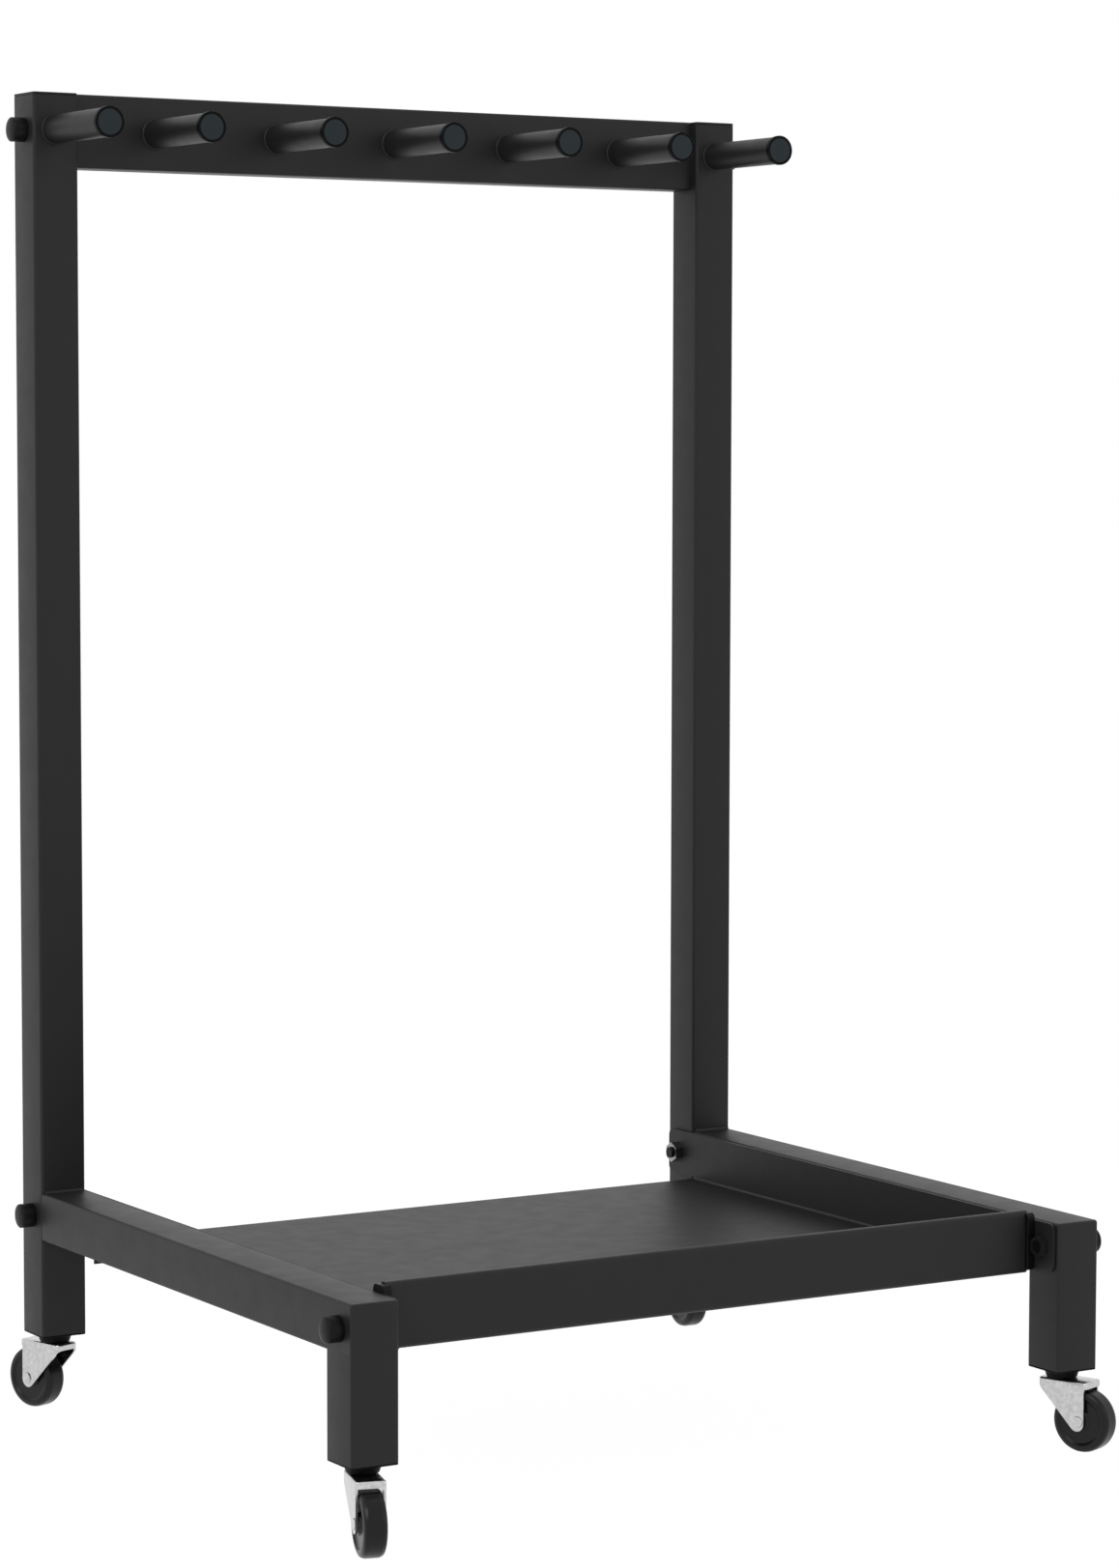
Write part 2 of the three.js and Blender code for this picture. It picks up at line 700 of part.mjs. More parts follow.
for (const [name, side] of [["left", -1], ["right", 1]]) {
  addSideFrame(name, side * legX);
  addUprightCap(name, side * legX);
  addCornerBlock(name, side);
  addFasteners(name, side);
}
addTopRail();
addPegs();
addTray();
addCasters();

// The origin is on the floor, under the middle of all that the stand and its trailing wheels reach
const reach = new THREE.Box3().setFromObject(stand, true);
const middle = reach.getCenter(new THREE.Vector3());
stand.position.set(-middle.x, -middle.y, -reach.min.z);

export default stand;
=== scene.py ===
"""Dresses the display stand: coated tubes and their welds, pegs, folded tray, bolts and casters.

Lengths are in metres. +Z is up, and the front of the stand faces -Y.
"""

import math

import bmesh
import bpy
from mathutils import Matrix, Vector


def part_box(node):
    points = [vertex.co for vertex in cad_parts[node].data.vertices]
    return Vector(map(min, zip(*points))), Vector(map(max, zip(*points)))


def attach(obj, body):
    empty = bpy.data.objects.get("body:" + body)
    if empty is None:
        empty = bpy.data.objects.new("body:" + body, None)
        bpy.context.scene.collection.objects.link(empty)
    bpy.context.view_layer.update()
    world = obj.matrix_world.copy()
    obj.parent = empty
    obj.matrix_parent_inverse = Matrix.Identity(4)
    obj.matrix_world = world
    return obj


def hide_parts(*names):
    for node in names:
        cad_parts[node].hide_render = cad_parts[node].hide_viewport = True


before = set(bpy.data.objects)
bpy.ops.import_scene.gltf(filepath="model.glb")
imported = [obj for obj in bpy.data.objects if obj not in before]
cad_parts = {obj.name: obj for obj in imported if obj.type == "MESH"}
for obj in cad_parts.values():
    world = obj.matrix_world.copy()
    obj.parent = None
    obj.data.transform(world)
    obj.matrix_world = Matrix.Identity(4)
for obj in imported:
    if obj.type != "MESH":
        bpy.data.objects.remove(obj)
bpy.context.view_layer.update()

MM = 0.001
X, Y, Z = 0, 1, 2
QUARTER_TURN = math.radians(90)

# Distances: points that merge, coordinates that count as equal, and places that are close
MERGED = 0.001 * MM
SAME_PLACE = 0.01 * MM
JUST_PAST = 0.1 * MM
NEARBY = 1 * MM

# The least share of a normal, and of an edge, that lies along an axis
FACES_ALONG = 0.9
RUNS_ALONG = 0.99

# Clearances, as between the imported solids
FIT_GAP = 0.3 * MM
RUNNING_GAP = 0.4 * MM

# How finely curves are divided, and how round a corner is
ROUND_STEPS = 48
WHEEL_STEPS = 72
CORNER_STEPS = 5
EDGE_STEPS = 3
ROUND_PROFILE = 0.5

# Angles in degrees over which an edge stays sharp
SHARP = 35
BEAD_SHARP = 80
FORK_SHARP = 40
WHEEL_SHARP = 20

# Square tube, the plates that close it and the caps in the uprights' tops
TUBE_WALL = 1.2 * MM
TUBE_CORNER = 1.5 * MM
PLATE_ROUNDING_SHARE = 0.98
CAP_EDGE = 0.5 * MM

# Welds
BEAD_RADIUS = 1.7 * MM
BEAD_SIDES = 16
BEAD_RIPPLE_PITCH = 1.9 * MM
BEAD_RIPPLE_SHARE = 0.12
LEAST_RIPPLES = 2
PEG_BEAD_RADIUS = 0.8 * MM
PEG_BEAD_SIDES = 12

# Pegs and their plugs
PEG_COUNT = 7
PEG_WALL = 1.5 * MM
PLUG_ROUNDING = 0.9 * MM
PLUG_RING = 1.5 * MM
PLUG_DISC_SINK = 0.15 * MM
PLUG_DISC_THICKNESS = 0.6 * MM

# Folded tray
SHEET = 1.2 * MM
FOLD_OUTER_RADIUS = 2.4 * MM
FOLD_STEPS = 6
LIP_SETBACK = 20 * MM
LIP_RETURN = 6 * MM
LIP_RETURN_DROP = 5 * MM
LIP_END_GAP = 4.1 * MM
SIDE_FLANGE = 27.3 * MM
BACK_FLANGE = 12 * MM
FOLD_RELIEF = 3 * MM
EAR_CORNER = 4 * MM
EAR_CORNER_STEPS = 6
SHEET_EDGE = 0.2 * MM

# Corner blocks
BLOCK_CORNER = 2.5 * MM
BLOCK_EDGE = 0.4 * MM

# Bolts and their moulded heads
HEAD_RADIUS = 6.3 * MM
HEAD_HEIGHT = 8.3 * MM
HEAD_RIM = 6.8 * MM
DOME_STEPS = 8
SHANK_RADIUS = 3 * MM

# Plugs that hold the casters
PLUG_FLANGE = 1 * MM
COLLAR_TOP_RADIUS = 9.3 * MM
COLLAR_BOTTOM_RADIUS = 7.8 * MM
COLLAR_EDGE = 0.5 * MM

# Casters' forks
TRAIL = 14 * MM
NECK_RADIUS = 3 * MM
NECK_HOLE_SIDES = 24
FORK_SHEET = 1 * MM
FORK_EDGE = 0.22 * MM
FORK_HALF_WIDTH = 7.25 * MM
FORK_FRONT = 10 * MM
FORK_FRONT_CORNER = 2.8 * MM
FORK_FRONT_STEPS = 6
FORK_REAR_CORNER = 1.4 * MM
FORK_REAR_STEPS = 4
FORK_SKIRT = 3.4 * MM
FORK_RIM_STEPS = 4
FORK_TIP = 4.1 * MM
FORK_TIP_AHEAD = 0.8 * MM
FORK_TIP_DROP = 0.8 * MM
FORK_TIP_STEPS = 10
FORK_TIP_FRONT_STEPS = 4

# Casters' wheels
AXLE_RADIUS = 2 * MM
WHEEL_RADIUS = 16 * MM
WHEEL_WIDTH = 11.5 * MM
TREAD_ROUNDING = 2.4 * MM
TREAD_MIDDLE_SHARE = 0.29
TREAD_EDGE = 0.2 * TREAD_ROUNDING
WHEEL_DISC_RADIUS = 12.2 * MM
WHEEL_DISC_DEPTH = 0.9 * MM
HUB_RADIUS = 5 * MM
HUB_STEP = 0.6 * MM

# The direction in which each wheel trails, in degrees from +X
CASTERS = {"front_left": -106, "front_right": -69, "back_left": 109, "back_right": 85}

# Grain of the surfaces, as (grains per metre, detail), and how high it stands. The middle part of
# its values is stretched over the range that a surface varies in
COAT_PATCHES = (90, 3)
COAT_GRAIN = (900, 2)
COAT_GRAIN_HEIGHT = 0.05 * MM
PLASTIC_PATCHES = (120, 2)
ZINC_SPANGLE = (500, 4)
ZINC_PATCHES = (260, 4)
ZINC_GRAIN = (1500, 1)
ZINC_GRAIN_HEIGHT = 0.004 * MM
GRAIN_RANGE = (0.3, 0.7)
GRAIN_STRENGTH = 0.6

# Colours and gloss
COAT_COLOUR = (0.0115, 0.0115, 0.0122)
COAT_SPECULAR = 0.25
DEEP_BLACK = (0.004, 0.004, 0.0045)
ZINC_ROUGHNESS = (0.16, 0.24)

# Camera, from a fit to the stand's straight edges in the photograph. The photograph is upright, so
# its height spans the sensor
PHOTO_HEIGHT = 1623
FOCAL_PIXELS = 4502.3
SENSOR = 36
CAMERA_PLACE = Vector((-1.1460, -1.9116, 0.5126))
CAMERA_YAW = math.radians(31.071)
CAMERA_PITCH = math.radians(4.538)
CAMERA_ROLL = math.radians(0.099)

# Studio: a white world, brightest on one side, with its light away from that side and towards it
WHITE = (1, 1, 1, 1)
BRIGHT_SIDE = (-0.55, 0.7, -0.45)
WORLD_LIGHT = (0.4, 0.8)

# Floor: how much it glows, and what share of it is glow as seen and as light
FLOOR_SIDE = 12
FLOOR_COLOUR = (0.9, 0.9, 0.9, 1)
FLOOR_ROUGHNESS = 0.9
FLOOR_GLOW = 1.05
SEEN_GLOW_SHARE = 0.94
LIT_GLOW_SHARE = 0.55

# Lamps, all aimed at the middle of the stand, with their power in watts
LAMP_AIM = Vector((0, 0, 0.35))
LAMP_SIDE = 1.6
LAMPS = {
    "key": {"place": Vector((-2.6, -1.2, 2.4)), "power": 30},
    "fill": {"place": Vector((1.6, -2.6, 1.4)), "power": 4},
}


# Materials

def shader_of(material):
    material.use_nodes = True
    return material.node_tree, material.node_tree.nodes["Principled BSDF"]


def fine_grain(tree, grain):
    """Noise on Object coordinates."""
    place = tree.nodes.new("ShaderNodeTexCoord")
    noise = tree.nodes.new("ShaderNodeTexNoise")
    noise.inputs["Scale"].default_value, noise.inputs["Detail"].default_value = grain
    tree.links.new(place.outputs["Object"], noise.inputs["Vector"])
    return noise.outputs["Fac"]


def remapped(tree, value, source, target):
    """Stretches one range of a value over another."""
    spread = tree.nodes.new("ShaderNodeMapRange")
    names = ("From Min", "From Max", "To Min", "To Max")
    for name, limit in zip(names, (*source, *target)):
        spread.inputs[name].default_value = limit
    tree.links.new(value, spread.inputs["Value"])
    return spread.outputs["Result"]


def vary(tree, grain, target, socket):
    """Lets a socket's value wander with the grain."""
    tree.links.new(remapped(tree, fine_grain(tree, grain), GRAIN_RANGE, target), socket)


def raise_grain(tree, shader, grain, height):
    bump = tree.nodes.new("ShaderNodeBump")
    bump.inputs["Strength"].default_value = GRAIN_STRENGTH
    bump.inputs["Distance"].default_value = height
    tree.links.new(fine_grain(tree, grain), bump.inputs["Height"])
    tree.links.new(bump.outputs["Normal"], shader.inputs["Normal"])


def coated_steel(name, colour, roughness):
    material = bpy.data.materials.new(name)
    tree, shader = shader_of(material)
    shader.inputs["Base Color"].default_value = (*colour, 1)
    shader.inputs["Specular IOR Level"].default_value = COAT_SPECULAR
    vary(tree, COAT_PATCHES, roughness, shader.inputs["Roughness"])
    raise_grain(tree, shader, COAT_GRAIN, COAT_GRAIN_HEIGHT)
    return material


def moulded_plastic(name, colour, specular, roughness):
    material = bpy.data.materials.new(name)
    tree, shader = shader_of(material)
    shader.inputs["Base Color"].default_value = (*colour, 1)
    shader.inputs["Specular IOR Level"].default_value = specular
    vary(tree, PLASTIC_PATCHES, roughness, shader.inputs["Roughness"])
    return material


def zinc_plating(name, brightness):
    material = bpy.data.materials.new(name)
    tree, shader = shader_of(material)
    shader.inputs["Metallic"].default_value = 1
    vary(tree, ZINC_SPANGLE, brightness, shader.inputs["Base Color"])
    vary(tree, ZINC_PATCHES, ZINC_ROUGHNESS, shader.inputs["Roughness"])
    raise_grain(tree, shader, ZINC_GRAIN, ZINC_GRAIN_HEIGHT)
    return material


FRAME_COAT = coated_steel("frame_powder_coat", COAT_COLOUR, roughness=(0.44, 0.49))
TRAY_COAT = coated_steel("tray_powder_coat", COAT_COLOUR, roughness=(0.46, 0.51))
BLACK_STEEL = coated_steel("black_zinc_plating", (0.01, 0.01, 0.011), roughness=(0.35, 0.45))
CAP_PLASTIC = moulded_plastic(
    "cap_plastic", (0.0095, 0.0095, 0.01), specular=0.24, roughness=(0.46, 0.54),
)
HEAD_PLASTIC = moulded_plastic(
    "bolt_head_plastic", DEEP_BLACK, specular=0.13, roughness=(0.34, 0.42),
)
PLUG_PLASTIC = moulded_plastic("plug_plastic", DEEP_BLACK, specular=0.05, roughness=(0.34, 0.42))
PEG_PLASTIC = moulded_plastic(
    "peg_plug_plastic", (0.011, 0.0185, 0.0215), specular=0.2, roughness=(0.4, 0.48),
)
WHEEL_PLASTIC = moulded_plastic(
    "wheel_plastic", (0.006, 0.006, 0.007), specular=0.22, roughness=(0.24, 0.3),
)
ZINC = zinc_plating("bright_zinc", brightness=(0.47, 0.62))
NUT_ZINC = zinc_plating("nut_zinc", brightness=(0.24, 0.34))


# Making shapes

def box_between(low, high):
    bm = bmesh.new()
    bmesh.ops.create_cube(bm, size=1)
    bmesh.ops.scale(bm, vec=high - low, verts=bm.verts)
    bmesh.ops.translate(bm, vec=(low + high) / 2, verts=bm.verts)
    return bm


def level_face(width, depth, middle):
    """One level rectangle, the start of a folded sheet."""
    bm = bmesh.new()
    bmesh.ops.create_grid(bm, x_segments=1, y_segments=1, size=0.5)
    bmesh.ops.scale(bm, vec=(width, depth, 1), verts=bm.verts)
    bmesh.ops.translate(bm, vec=middle, verts=bm.verts)
    return bm


def spin_about_z(bm, steps):
    bmesh.ops.spin(
        bm, geom=bm.verts[:] + bm.edges[:], cent=(0, 0, 0), axis=(0, 0, 1), angle=math.tau,
        steps=steps, use_merge=True,
    )


def turned(points, steps=ROUND_STEPS):
    """A piece turned about Z, from the (radius, height) points of its half section."""
    bm = bmesh.new()
    verts = [bm.verts.new((radius, 0, height)) for radius, height in points]
    for pair in zip(verts, verts[1:]):
        bm.edges.new(pair)
    spin_about_z(bm, steps)
    bmesh.ops.remove_doubles(bm, verts=bm.verts, dist=MERGED)
    return bm


def placed(bm, matrix):
    bmesh.ops.transform(bm, matrix=matrix, verts=bm.verts)
    return bm


def laid_forward(place):
    """Turns a piece made about Z so that it points to the front from a place."""
    return Matrix.Translation(place) @ Matrix.Rotation(QUARTER_TURN, 4, "X")


def add_to(bm, other):
    """Adds another closed shape to a piece."""
    mesh = bpy.data.meshes.new("part_of_piece")
    other.to_mesh(mesh)
    other.free()
    bm.from_mesh(mesh)
    bpy.data.meshes.remove(mesh)


# Choosing and rounding edges

def edges_along(bm, axis):
    """Straight edges that run along an axis."""
    found = []
    for edge in bm.edges:
        run = edge.verts[1].co - edge.verts[0].co
        if abs(run[axis]) > RUNS_ALONG * run.length:
            found.append(edge)
    return found


def edges_at(bm, **where):
    """Edges whose two ends share the given x, y or z."""
    wanted = [("xyz".index(name), value) for name, value in where.items()]

    def lies_there(vert):
        return all(abs(vert.co[axis] - value) < SAME_PLACE for axis, value in wanted)

    return [edge for edge in bm.edges if all(map(lies_there, edge.verts))]


def folds_at(bm, **where):
    """Edges of a sheet at the given coordinates where two of its faces meet."""
    return [edge for edge in edges_at(bm, **where) if len(edge.link_faces) == 2]


def round_off(bm, geom, radius, segments, affect):
    bmesh.ops.bevel(
        bm, geom=geom, offset=radius, offset_type="OFFSET", segments=segments,
        profile=ROUND_PROFILE, affect=affect, material=-1, clamp_overlap=True,
    )


def round_edges(bm, edges, radius, segments):
    round_off(bm, edges, radius, segments, "EDGES")


def round_corners(bm, verts, radius, segments):
    """Rounds the corners of flat faces."""
    round_off(bm, verts, radius, segments, "VERTICES")


# Folding sheet

def pull_edges(bm, edges, vector):
    """Extrudes edges into a new strip of sheet and returns the strip's far edges."""
    made = bmesh.ops.extrude_edge_only(bm, edges=edges)["geom"]
    verts = [item for item in made if isinstance(item, bmesh.types.BMVert)]
    bmesh.ops.translate(bm, vec=vector, verts=verts)
    moved = set(verts)
    return [edge for edge in bm.edges if edge.verts[0] in moved and edge.verts[1] in moved]


def cut_sheet(bm, place, normal, drop_outer=False):
    """Divides a sheet along a plane, and can drop what lies on the side of the normal."""
    bmesh.ops.bisect_plane(
        bm, geom=bm.verts[:] + bm.edges[:] + bm.faces[:], dist=MERGED, plane_co=place,
        plane_no=normal, clear_outer=drop_outer,
    )


def face_sheet(bm, up):
    """Turns a sheet so that its largest level face looks up or down, and returns that face."""
    bmesh.ops.recalc_face_normals(bm, faces=bm.faces)
    level = [face for face in bm.faces if abs(face.normal.z) > FACES_ALONG]
    largest = max(level, key=lambda face: face.calc_area())
    if (largest.normal.z > 0) != up:
        bmesh.ops.reverse_faces(bm, faces=bm.faces)
    return largest


# Finishing pieces

def piece(name, bm, body, material, nodes=(), edge=0.0, sharp=SHARP):
    """Links a finished piece that rides on a body and stands for CAD nodes."""
    bmesh.ops.recalc_face_normals(bm, faces=bm.faces)
    mesh = bpy.data.meshes.new(name)
    bm.to_mesh(mesh)
    bm.free()
    mesh.materials.append(material)
    mesh.shade_smooth()
    mesh.set_sharp_from_angle(angle=math.radians(sharp))
    made = bpy.data.objects.new(name, mesh)
    bpy.context.scene.collection.objects.link(made)
    if edge:
        rounding = made.modifiers.new("edge_rounding", "BEVEL")
        rounding.width = edge
        rounding.segments = EDGE_STEPS
        rounding.limit_method = "ANGLE"
        rounding.angle_limit = math.radians(sharp)
        rounding.harden_normals = True
    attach(made, body)
    if nodes:
        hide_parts(*nodes)


def dress(node, material):
    """Gives a CAD node that stays as it is a material of this scene."""
    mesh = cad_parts[node].data
    mesh.materials.clear()
    mesh.materials.append(material)


# Frame

def square_tube(node, along, past_end=0.0):
    """A tube along an axis, which can run on past its upper end into the tube that it meets."""
    low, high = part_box(node)
    high[along] += past_end
    bm = box_between(low, high)
    ends = [face for face in bm.faces if abs(face.normal[along]) > FACES_ALONG]
    bmesh.ops.delete(bm, geom=ends, context="FACES_ONLY")
    round_edges(bm, edges_along(bm, along), TUBE_CORNER, CORNER_STEPS)
    bmesh.ops.solidify(bm, geom=bm.faces[:], thickness=TUBE_WALL)
    piece(node + "_tube", bm, "stand", FRAME_COAT, [node])


def end_plate(node):
    """The plate in a base rail's front end.

    It is ground flush with the rail and the leg, so the edges where they meet stay sharp.
    """
    low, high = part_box(node)
    low.z += TUBE_CORNER
    bm = box_between(low, high)
    outer = edges_at(bm, y=low.y) + edges_at(bm, z=high.z)
    ground = edges_at(bm, y=low.y, z=low.z) + edges_at(bm, y=high.y, z=high.z)
    rounded = [edge for edge in bm.edges if edge in outer and edge not in ground]
    round_edges(bm, rounded, PLATE_ROUNDING_SHARE * (high.y - low.y), CORNER_STEPS)
    piece(node + "_welded", bm, "stand", FRAME_COAT, [node])


def upright_cap(node):
    """A flange over the tube, softly rounded, with its skirt inside."""
    low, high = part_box(node)
    top = Vector((low.x, low.y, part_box(node.replace("_cap", ""))[1].z))
    bm = box_between(top, high)
    round_edges(bm, edges_along(bm, Z), TUBE_CORNER, CORNER_STEPS)
    crown = [face for face in bm.faces if face.normal.z > FACES_ALONG]
    bmesh.ops.inset_region(bm, faces=crown, thickness=CAP_EDGE, depth=0)
    skirt_side = (high.x - low.x) / 2 - TUBE_WALL - FIT_GAP
    middle = (low + high) / 2
    reach = Vector((skirt_side, skirt_side, 0))
    skirt = box_between(
        Vector((middle.x, middle.y, low.z)) - reach,
        Vector((middle.x, middle.y, top.z)) + reach,
    )
    add_to(bm, skirt)
    piece(node + "_moulded", bm, "stand", CAP_PLASTIC, [node], edge=CAP_EDGE)


def weld_bead(name, start, end):
    """A rippled bead in an inner corner, between two points."""
    run = end - start
    ripples = max(LEAST_RIPPLES, round(run.length / BEAD_RIPPLE_PITCH))
    points = [(0.0, 0.0)]
    for step in range(2 * ripples + 1):
        swell = BEAD_RADIUS * (1 - BEAD_RIPPLE_SHARE * (step % 2))
        points.append((swell, run.length * step / (2 * ripples)))
    points.append((0.0, run.length))
    bm = turned(points, BEAD_SIDES)
    turn = run.to_track_quat("Z", "Y").to_matrix().to_4x4()
    placed(bm, Matrix.Translation(start) @ turn)
    piece(name, bm, "stand", FRAME_COAT, sharp=BEAD_SHARP)


def side_frame_welds(side):
    """Beads between the rail and the upright, and between the rail and the leg."""
    upright_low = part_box(side + "_upright")[0]
    rail_low, rail_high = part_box(side + "_base_rail")
    leg_low, leg_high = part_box(side + "_front_leg")
    across = Vector((TUBE_CORNER, 0, 0))
    for label, height in (("top", rail_high.z), ("under", rail_low.z)):
        start = Vector((rail_low.x, upright_low.y, height))
        end = Vector((rail_high.x, upright_low.y, height))
        weld_bead(f"{side}_rail_weld_{label}", start + across, end - across)
    start = Vector((leg_low.x, leg_high.y, rail_low.z))
    end = Vector((leg_high.x, leg_high.y, rail_low.z))
    weld_bead(f"{side}_leg_weld", start + across, end - across)


# Pegs

def peg(number):
    """A peg's tube, the bead at its root and the plug in its open end."""
    node = f"peg_{number}"
    low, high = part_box(node)
    radius = (high.z - low.z) / 2
    bore = radius - PEG_WALL
    length = high.y - low.y
    root = Vector(((low.x + high.x) / 2, high.y, (low.z + high.z) / 2))
    tube = turned([(bore, 0), (radius, 0), (radius, length), (bore, length), (bore, 0)])
    placed(tube, laid_forward(root))
    piece(node + "_tube", tube, "stand", FRAME_COAT, [node])

    bead = bmesh.new()
    bmesh.ops.create_circle(bead, segments=PEG_BEAD_SIDES, radius=PEG_BEAD_RADIUS)
    placed(bead, laid_forward((radius, 0, 0)))
    spin_about_z(bead, ROUND_STEPS)
    placed(bead, laid_forward(root))
    piece(node + "_weld", bead, "stand", FRAME_COAT, sharp=BEAD_SHARP)

    peg_plug(number, root, length, bore)


def peg_plug(number, root, mouth, bore):
    """A ring that covers the tube's end, around a disc that lies a little lower."""
    node = f"peg_plug_{number}"
    low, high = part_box(node)
    rim = (high.z - low.z) / 2
    inner_end = root.y - high.y
    face = root.y - low.y
    disc = rim - PLUG_RING
    sunk = face - PLUG_DISC_SINK
    seat = sunk - PLUG_DISC_THICKNESS / 2
    plug = turned([
        (0, inner_end), (bore, inner_end), (bore, mouth), (rim, mouth),
        (rim, face), (disc, face), (disc, seat), (0, seat),
    ])
    piece(
        node + "_moulded", placed(plug, laid_forward(root)), "stand",
        PLUG_PLASTIC, [node], edge=PLUG_ROUNDING,
    )
    bottom = sunk - PLUG_DISC_THICKNESS
    inlay = turned([(0, bottom), (disc, bottom), (disc, sunk), (0, sunk)])
    placed(inlay, laid_forward(root))
    piece(node + "_disc", inlay, "stand", PEG_PLASTIC)


# Tray

def about_middle(edges):
    """Those edges whose middle lies between the stand's left and right."""
    return [edge for edge in edges if abs(edge.verts[0].co.x + edge.verts[1].co.x) < NEARBY]


def pull_ear(bm, x, from_y, to_y, above):
    """Lengthens a side flange above its fold into an ear, and returns the ear's tips."""
    upright = [
        edge for edge in edges_at(bm, x=x, y=from_y)
        if min(vert.co.z for vert in edge.verts) > above - JUST_PAST
    ]
    (far,) = pull_edges(bm, upright, (0, to_y - from_y, 0))
    return list(far.verts)


def shelf_tray():
    """The tray, folded from one sheet.

    It is drawn on its outer faces, except its back flange, which is drawn on its inner face.
    """
    low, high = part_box("shelf_tray")
    bottom = low.z + BACK_FLANGE
    lip_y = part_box("left_rail_end_plate")[0].y + LIP_SETBACK
    lip_x = high.x - LIP_END_GAP
    floor_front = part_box("corner_block_left")[1].y + FIT_GAP
    floor_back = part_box("left_upright")[0].y - FIT_GAP - SHEET
    relief_y = floor_back - FOLD_RELIEF
    ear_z = bottom + FOLD_OUTER_RADIUS

    # The floor, with the lines where its flanges end
    floor_middle = (0, (floor_back + floor_front) / 2, bottom)
    bm = level_face(high.x - low.x, floor_back - floor_front, floor_middle)
    for x in (-lip_x, lip_x):
        cut_sheet(bm, (x, 0, 0), (1, 0, 0))
    cut_sheet(bm, (0, relief_y, 0), (0, 1, 0))

    # The lip with its return, the back flange and the side flanges
    lip_foot = about_middle(edges_at(bm, y=floor_front))
    lip_foot = pull_edges(bm, lip_foot, (0, lip_y - floor_front, 0))
    lip_top = pull_edges(bm, lip_foot, (0, 0, high.z - bottom))
    lip_return = pull_edges(bm, lip_top, (0, LIP_RETURN, 0))
    pull_edges(bm, lip_return, (0, 0, -LIP_RETURN_DROP))
    back = about_middle(edges_at(bm, y=floor_back))
    pull_edges(bm, back, (0, 0, low.z - bottom))
    for x in (low.x, high.x):
        side = [
            edge for edge in edges_at(bm, x=x, z=bottom)
            if max(vert.co.y for vert in edge.verts) < relief_y + NEARBY
        ]
        pull_edges(bm, side, (0, 0, SIDE_FLANGE))
    cut_sheet(bm, (0, 0, ear_z), (0, 0, 1))

    ear_tips = []
    for x in (low.x, high.x):
        ear_tips += pull_ear(bm, x, floor_front, low.y, ear_z)
        ear_tips += pull_ear(bm, x, relief_y, high.y, ear_z)
    round_corners(bm, ear_tips, EAR_CORNER, EAR_CORNER_STEPS)

    outer_folds = (
        folds_at(bm, x=low.x, z=bottom) + folds_at(bm, x=high.x, z=bottom)
        + folds_at(bm, y=lip_y, z=bottom) + folds_at(bm, y=lip_y, z=high.z)
        + folds_at(bm, y=lip_y + LIP_RETURN, z=high.z)
    )
    round_edges(bm, outer_folds, FOLD_OUTER_RADIUS, FOLD_STEPS)
    back_fold = folds_at(bm, y=floor_back, z=bottom)
    round_edges(bm, back_fold, FOLD_OUTER_RADIUS - SHEET, FOLD_STEPS)

    face_sheet(bm, up=False)
    bmesh.ops.solidify(bm, geom=bm.faces[:], thickness=SHEET)
    piece(
        "shelf_tray_folded", bm, "stand", TRAY_COAT, ["shelf_tray"],
        edge=SHEET_EDGE,
    )


def corner_block(side):
    """A moulded block on the tray's ear, which takes the end of the lip."""
    node = "corner_block_" + side
    bm = box_between(*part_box(node))
    round_edges(bm, edges_along(bm, X), BLOCK_CORNER, CORNER_STEPS)
    piece(node + "_moulded", bm, "stand", HEAD_PLASTIC, [node], edge=BLOCK_EDGE)


# Bolts

def bolt(place, side):
    """A bolt with a domed head that points away from the stand."""
    node = f"bolt_{place}_{side}"
    low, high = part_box(node)
    outer_x = high.x if side == "right" else low.x
    direction = 1 if side == "right" else -1
    seat_x = outer_x - direction * HEAD_HEIGHT
    seat = Vector((seat_x, (low.y + high.y) / 2, (low.z + high.z) / 2))
    shank = (high.x - low.x) - HEAD_HEIGHT
    section = [(0, -shank), (SHANK_RADIUS, -shank), (SHANK_RADIUS, 0), (HEAD_RADIUS, 0)]
    for step in range(DOME_STEPS):
        angle = QUARTER_TURN * step / DOME_STEPS
        rise = (HEAD_HEIGHT - HEAD_RIM) * math.sin(angle)
        section.append((HEAD_RADIUS * math.cos(angle), HEAD_RIM + rise))
    section.append((0, HEAD_HEIGHT))
    turn = Matrix.Rotation(direction * QUARTER_TURN, 4, "Y")
    bm = placed(turned(section), Matrix.Translation(seat) @ turn)
    piece(node + "_moulded", bm, "stand", HEAD_PLASTIC, [node])


# Casters, whose forks and wheels are made with the swivel axis on Z and the wheel towards +X

def caster_frame(corner):
    """Where a caster stands, and how it is turned."""
    low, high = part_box(f"caster_{corner}_stem")
    middle = (low + high) / 2
    turn = Matrix.Rotation(math.radians(CASTERS[corner]), 4, "Z")
    return Matrix.Translation((middle.x, middle.y, 0)) @ turn


def caster_plug(corner):
    """A flange under the tube's end, with a collar that tapers down to the fork."""
    node = f"caster_{corner}_plug"
    low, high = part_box(node)
    flange_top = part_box("left_front_leg")[0].z
    flange_bottom = flange_top - PLUG_FLANGE
    bm = box_between(
        Vector((low.x, low.y, flange_bottom)), Vector((high.x, high.y, flange_top)),
    )
    round_edges(bm, edges_along(bm, Z), TUBE_CORNER, CORNER_STEPS)
    collar_top = flange_top - PLUG_FLANGE / 2
    collar = turned([
        (0, low.z), (COLLAR_BOTTOM_RADIUS, low.z),
        (COLLAR_TOP_RADIUS, collar_top), (0, collar_top),
    ])
    middle = (low + high) / 2
    add_to(bm, placed(collar, Matrix.Translation((middle.x, middle.y, 0))))
    piece(
        node + "_moulded", bm, "stand", PLUG_PLASTIC, [node], edge=COLLAR_EDGE,
    )


